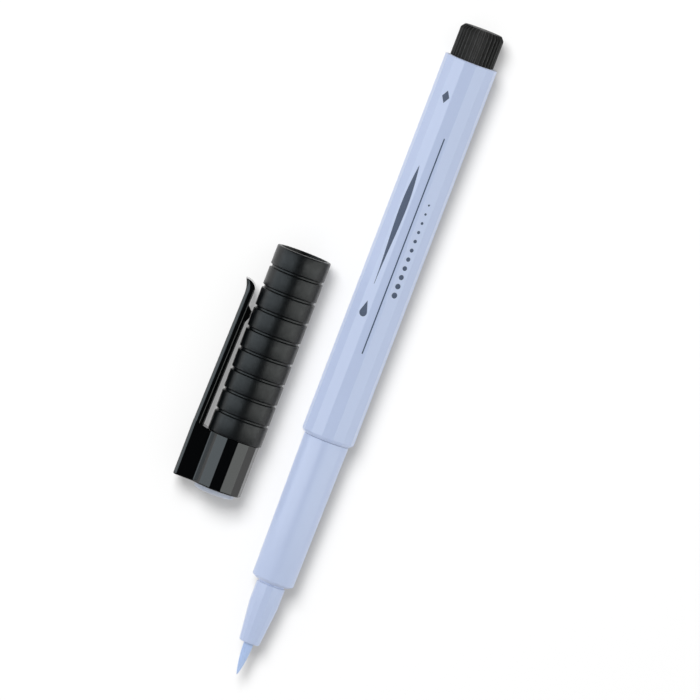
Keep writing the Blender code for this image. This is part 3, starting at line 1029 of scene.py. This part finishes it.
    def make_rib(self):
        """Stiffening rib along the arm's inner side, ending in the bump that grips a pocket's edge."""
        root, tip = near_y("clip_arm"), far_y("clip_arm")
        bump_low, bump_high = tip - 7.9 * MM, tip - 5.5 * MM
        start, end = root - 1 * MM, bump_high + 0.53 * MM
        touch = TUBE_RADIUS + 0.05 * MM
        near_bump = self.inner_radius - 0.48 * MM
        buried = self.root_radius - 0.9 * self.plate
        half = 1.2 * MM
        corners = [
            (buried, start, 0),
            (buried - 0.4 * MM, end, 0),
            (self.inner_radius + 0.25 * MM, end, 0),
            (touch, bump_high - 0.6 * MM, 0.25 * MM),
            (touch, bump_low + 0.5 * MM, 0.3 * MM),
            (near_bump, bump_low - 0.6 * MM, 0.5 * MM),
            (self.inner_radius, root + 0.5 * MM, 0),
            (self.inner_radius, start, 0),
        ]
        points = [(CAP_X - reach, y, CAP_Z - half) for reach, y in eased(corners)]
        rib = slab("clip_rib", points, 2 * half)
        rim_radius = self.inner_radius + 0.3 * MM

        def inner_rim(a, b):
            on_side = abs(a.z - b.z) < MERGE_DISTANCE
            return on_side and max(CAP_X - a.x, CAP_X - b.x) < rim_radius

        select_edges(rib, inner_rim)
        bpy.ops.mesh.bevel(offset=0.2 * MM, segments=3, affect="EDGES", clamp_overlap=True)
        bpy.ops.object.mode_set(mode="OBJECT")
        return rib

    def execute(self, context):
        low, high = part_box("clip_arm")
        half = (high.z - low.z) / 2
        crown = self.make_crown(context.scene.marker_sizes)
        for other in (self.make_block(half), self.make_arm(half), self.make_rib()):
            apply_modifier(crown, "BOOLEAN", operation="UNION", solver="EXACT", object=other)
            bpy.data.objects.remove(other)
        bpy.ops.object.mode_set(mode="EDIT")
        close_surface()
        bpy.ops.mesh.dissolve_degenerate(threshold=MERGE_DISTANCE)
        smooth(crown, even_flats=True)
        dress(crown, "polished_styrene_black", None, "gloss_black_plastic", "cap_crown", "clip_arm")
        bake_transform(crown)
        return {"FINISHED"}


class MARKER_OT_button(bpy.types.Operator):
    """Turns the domed colour button in the end of the crown"""

    bl_idname = "marker.button"
    bl_label = "Colour button"

    def execute(self, context):
        top, back = near_y("colour_button"), far_y("colour_button")
        full = half_width("colour_button")
        dome, dome_steps, dome_power = 0.7 * MM, 12, 0.6
        back_edge = 0.1 * MM
        edge = top + dome
        outline = [(0, back), (full - back_edge, back), (full, back - back_edge)]
        for i in range(dome_steps + 1):
            angle = math.pi / 2 * i / dome_steps
            radius = full * math.cos(angle) ** dome_power
            outline.append((radius, edge - (edge - top) * math.sin(angle)))
        button = turn("domed_button", outline, ROUND_STEPS, CAP_AXIS)
        smooth(button)
        # The button gets the greyer copy of the pale blue, which is painted shade on the end of the cap
        dress(button, "satin_polypropylene_grey_blue", "cap", "pale_blue_plastic", "colour_button")
        return {"FINISHED"}


class MARKER_OT_stage(bpy.types.Operator):
    """Sets the table, its lamp, three long soft lamps, a low card, the dim room and the camera"""

    bl_idname = "marker.stage"
    bl_label = "Stage"

    def lay_table(self, scene):
        bpy.ops.object.select_all(action="DESELECT")
        bpy.ops.mesh.primitive_circle_add(vertices=64, radius=TABLE_RADIUS, fill_type="NGON")
        table = bpy.context.object
        table.name = "table"
        white_table(scene.marker_colours.table_white)
        paint(table.data, "white_table")
        return table

    def add_lamp(
        self, name, side, back, radiance, width, length, target=(0, 0, 0), away=LAMP_DISTANCE
    ):
        """A soft lamp aimed at a target. Side and back tilt it from above, in degrees to +X and +Y."""
        side, back = math.radians(side), math.radians(back)
        aim = Vector((math.sin(side), math.cos(side) * math.tan(back), math.cos(side))).normalized()
        turned = aim.to_track_quat("Z", "Y").to_euler()
        bpy.ops.object.light_add(type="AREA", location=Vector(target) + aim * away, rotation=turned)
        lamp = bpy.context.object
        lamp.name = name
        lamp.data.shape = "RECTANGLE"
        lamp.data.size = width
        lamp.data.size_y = length
        lamp.data.energy = radiance * math.pi * width * length
        lamp.visible_camera = False
        return lamp

    def list_things(self, name, things, state):
        """A collection that a lamp takes in or leaves out, as the state says."""
        listed = bpy.data.collections.new(name)
        for thing in things:
            listed.objects.link(thing)
        for entry in listed.collection_objects:
            entry.light_linking.link_state = state
        return listed

    def link_lamp(self, lamp, lit, clear=()):
        """Makes a lamp light these things alone, and lets its light pass through the clear ones."""
        links = lamp.light_linking
        links.receiver_collection = self.list_things(f"{lamp.name}_lights", lit, "INCLUDE")
        if clear:
            links.blocker_collection = self.list_things(f"{lamp.name}_passes", clear, "EXCLUDE")

    def hang_lamps(self, scene, table):
        pieces = [thing for thing in scene.objects if thing.type == "MESH" and thing != table]
        pen = [thing for thing in pieces if PEN_X - thing.bound_box[0][0] < 2 * BARREL_CORNER]
        cap = [thing for thing in pieces if thing not in pen]
        # The two were lit one by one, so the cap doesn't mirror the pen, nor shade it from the left
        for thing in pen:
            thing.visible_glossy = False
        # Far off and large, so that the white of the table is even
        wide, away = TABLE_LAMP_WIDTH, 3 * LAMP_DISTANCE
        top = self.add_lamp("table_lamp", -16.8, 22, 29.8, wide, wide, away=away)
        top.visible_glossy = False
        self.link_lamp(top, [table])
        long_lamps = (
            ("left_cap_lamp", -61, 2.1, (0.88, 1.0, 1.07), cap, ()),
            ("left_pen_lamp", -60, 3.2, (0.96, 1.0, 1.02), pen, cap),
            ("right_lamp", 60, 2.4, (0.96, 1.0, 0.98), pieces, ()),
        )
        for name, side, radiance, tint, lit, clear in long_lamps:
            lamp = self.add_lamp(name, side, 0, radiance, LONG_LAMP_WIDTH, LONG_LAMP_LENGTH)
            lamp.data.color = tint
            self.link_lamp(lamp, lit, clear)
        # A low card gives the pen's left side the room light that the black cap takes away
        low, high = near_y("cap_crown"), far_y("cap_tube")
        target = (PEN_X, (low + high) / 2, PEN_Z)
        card = self.add_lamp("left_card", -98, 0, 2.0, high - low, 6 * MM, target, PEN_X - CAP_X)
        card.visible_glossy = False
        self.link_lamp(card, pen, cap)

    def make_room(self, scene):
        """Even light on matt surfaces, dark ceiling and bright horizon in reflections, white behind."""
        world = bpy.data.worlds.new("studio_room")
        scene.world = world
        world.use_nodes = True
        rays = add_node(world, "LightPath").outputs
        way = add_node(world, "TexCoord").outputs["Generated"]
        height = add_node(world, "SeparateXYZ", Vector=way).outputs["Z"]
        levels = {"To_Min": HORIZON_SHINE, "To_Max": CEILING_SHINE}
        shine = add_node(
            world, "MapRange", SOFT_STEP, Value=height, From_Min=0.02, From_Max=0.30, **levels
        )
        matt = add_node(world, "Mix", Factor=rays["Is Glossy Ray"], A=ROOM_LIGHT, B=shine)
        seen = add_node(world, "Mix", Factor=rays["Is Camera Ray"], A=matt, B=1.0)
        feed(world, world.node_tree.nodes["Background"], Color=WHITE, Strength=seen)

    def place_camera(self, scene):
        target = Vector(CAMERA_TARGET)
        place = target + Vector((0, math.tan(CAMERA_LEAN), 1)) * CAMERA_HEIGHT
        ahead = (target - place).normalized()
        upright = Vector((-math.sin(CAMERA_ROLL), math.cos(CAMERA_ROLL), 0))
        right = ahead.cross(upright).normalized()
        above = right.cross(ahead)
        turned = Matrix((right, above, -ahead)).transposed()
        bpy.ops.object.camera_add(location=place, rotation=turned.to_euler())
        camera = bpy.context.object
        camera.data.sensor_width = SENSOR_WIDTH
        camera.data.lens = CAMERA_LENS
        camera.data.clip_start = CAMERA_NEAR
        scene.camera = camera

    def execute(self, context):
        scene = context.scene
        table = self.lay_table(scene)
        self.hang_lamps(scene, table)
        self.make_room(scene)
        self.place_camera(scene)
        scene.view_settings.view_transform = "Standard"
        return {"FINISHED"}


class MARKER_PT_panel(bpy.types.Panel):
    """Lists the marker's settings and pieces"""

    bl_idname = "MARKER_PT_panel"
    bl_label = "Calligraphy Marker"
    bl_space_type = "VIEW_3D"
    bl_region_type = "UI"
    bl_category = "Marker"

    def draw(self, context):
        for group in (context.scene.marker_sizes, context.scene.marker_colours):
            box = self.layout.box()
            for name in group.__annotations__:
                box.prop(group, name)
        for operator in OPERATORS:
            self.layout.operator(operator.bl_idname)


OPERATORS = (
    MARKER_OT_finishes,
    MARKER_OT_barrel,
    MARKER_OT_grip,
    MARKER_OT_nose,
    MARKER_OT_brush,
    MARKER_OT_plug,
    MARKER_OT_marks,
    MARKER_OT_cap_tube,
    MARKER_OT_inner_cap,
    MARKER_OT_crown,
    MARKER_OT_button,
    MARKER_OT_stage,
)
CLASSES = (MarkerSizes, MarkerColours, *OPERATORS, MARKER_PT_panel)


def register():
    for made in CLASSES:
        bpy.utils.register_class(made)
    bpy.types.Scene.marker_sizes = bpy.props.PointerProperty(type=MarkerSizes)
    bpy.types.Scene.marker_colours = bpy.props.PointerProperty(type=MarkerColours)


def unregister():
    del bpy.types.Scene.marker_colours
    del bpy.types.Scene.marker_sizes
    for made in reversed(CLASSES):
        bpy.utils.unregister_class(made)


def main():
    register()
    for operator in OPERATORS:
        area, name = operator.bl_idname.split(".")
        getattr(getattr(bpy.ops, area), name)()


if __name__ == "__main__":
    main()
